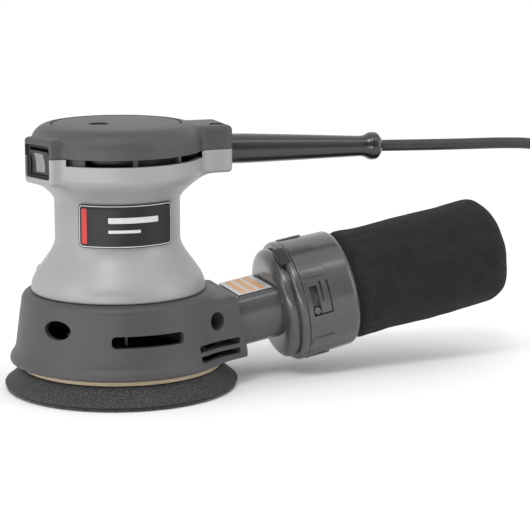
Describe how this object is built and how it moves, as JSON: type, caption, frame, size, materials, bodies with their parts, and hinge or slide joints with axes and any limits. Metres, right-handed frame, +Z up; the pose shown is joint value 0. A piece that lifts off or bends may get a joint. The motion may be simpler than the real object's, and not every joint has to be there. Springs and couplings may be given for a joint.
{
  "type": "orbital sander",
  "caption": "Palm-grip random-orbit sander: round sanding pad, skirted motor housing with domed cap, front rocker switch, plug-in dust canister with cloth bag, and power lead.",
  "frame": {"origin": "on the motor's axis, at the level of the sanding face", "axes": "+Z up along the motor's axis, +X to the rear where the cord and dust bag leave, +Y to the tool's right"},
  "size_m": [0.4574, 0.1801, 0.1415],
  "materials": {
    "silver_plastic": "satin silver-grey moulding",
    "charcoal_plastic": "fine-textured dark grey moulding",
    "black_plastic": "satin black",
    "grey_plastic": "satin grey",
    "smoke_plastic": "smoked, speckled, slightly translucent",
    "black_rubber": "matt black",
    "black_foam": "closed-cell foam, matt black",
    "hook_fabric": "hook tape",
    "bag_fabric": "black twill",
    "tan_ring": "tan low-friction plastic",
    "steel": "bright zinc",
    "brass": "machined",
    "copper": "enamelled copper",
    "aluminium": "die-cast",
    "laminations": "stacked electrical steel",
    "carbon": "pressed carbon",
    "label_film": "printed film, plain"
  },
  "bodies": {
    "body": {"badge_plate": "black_plastic", "bearing_plate": "charcoal_plastic", "brake_seal": "black_rubber", "brush_holder_left": "brass", "brush_holder_right": "brass", "cap_disc": "charcoal_plastic", "cap_screw": "steel", "carbon_brush_left": "carbon", "carbon_brush_right": "carbon", "coil_tie": "grey_plastic", "cord_coil": "black_rubber", "cord_tail": "black_rubber", "dust_shroud": "charcoal_plastic", "field_winding_lower": "copper", "field_winding_upper": "copper", "housing_left": "silver_plastic", "housing_right": "silver_plastic", "housing_screw_1": "steel", "housing_screw_2": "steel", "housing_screw_3": "steel", "housing_screw_4": "steel", "lower_bearing": "steel", "plug_blade_1": "brass", "plug_blade_2": "brass", "plug_body": "black_rubber", "power_cord": "black_rubber", "rocker_pin": "steel", "stator_core": "laminations", "strain_relief": "black_rubber", "switch_body": "black_plastic", "switch_frame": "black_plastic", "top_cap": "charcoal_plastic", "upper_bearing": "steel", "upper_bracket": "charcoal_plastic", "vent_ring": "silver_plastic"},
    "spindle": {"motor_shaft": "steel", "fan": "aluminium", "counterweight": "brass", "armature_core": "laminations", "armature_winding_lower": "copper", "armature_winding_upper": "copper", "commutator": "copper"},
    "pad": {"hook_face": "hook_fabric", "pad_foam": "black_foam", "pad_plate": "black_plastic", "wear_ring": "tan_ring", "pad_hub": "aluminium", "pad_bearing": "steel", "pad_screw_1": "steel", "pad_screw_2": "steel", "pad_screw_3": "steel"},
    "rocker": {"switch_rocker": "grey_plastic"},
    "canister": {"dust_tube": "smoke_plastic", "tube_label": "label_film", "bag_adapter": "smoke_plastic", "tube_seal": "black_rubber"},
    "bag": {"bag_ring": "smoke_plastic", "filter_bag": "bag_fabric", "bag_hoop": "steel"}
  },
  "joints": [
    {"name": "spindle_spin", "type": "hinge", "parent": "body", "child": "spindle", "pos_m": [0, 0, 0], "axis": [0, 0, 1], "continuous": true},
    {"name": "pad_spin", "type": "hinge", "parent": "spindle", "child": "pad", "pos_m": [0.0012, 0, 0], "axis": [0, 0, 1], "continuous": true},
    {"name": "switch_rock", "type": "hinge", "parent": "body", "child": "rocker", "pos_m": [-0.04145, -0.01591, 0.1245], "axis": [-0.3584, 0.9336, 0], "range_deg": [0, 14]},
    {"name": "canister_pull", "type": "slide", "parent": "body", "child": "canister", "axis": [0.9833, 0, 0.1822], "range_m": [0, 0.03]},
    {"name": "bag_twist", "type": "hinge", "parent": "canister", "child": "bag", "pos_m": [0.0635, 0, 0.033], "axis": [0.9833, 0, 0.1822], "range_deg": [0, 20]}
  ]
}
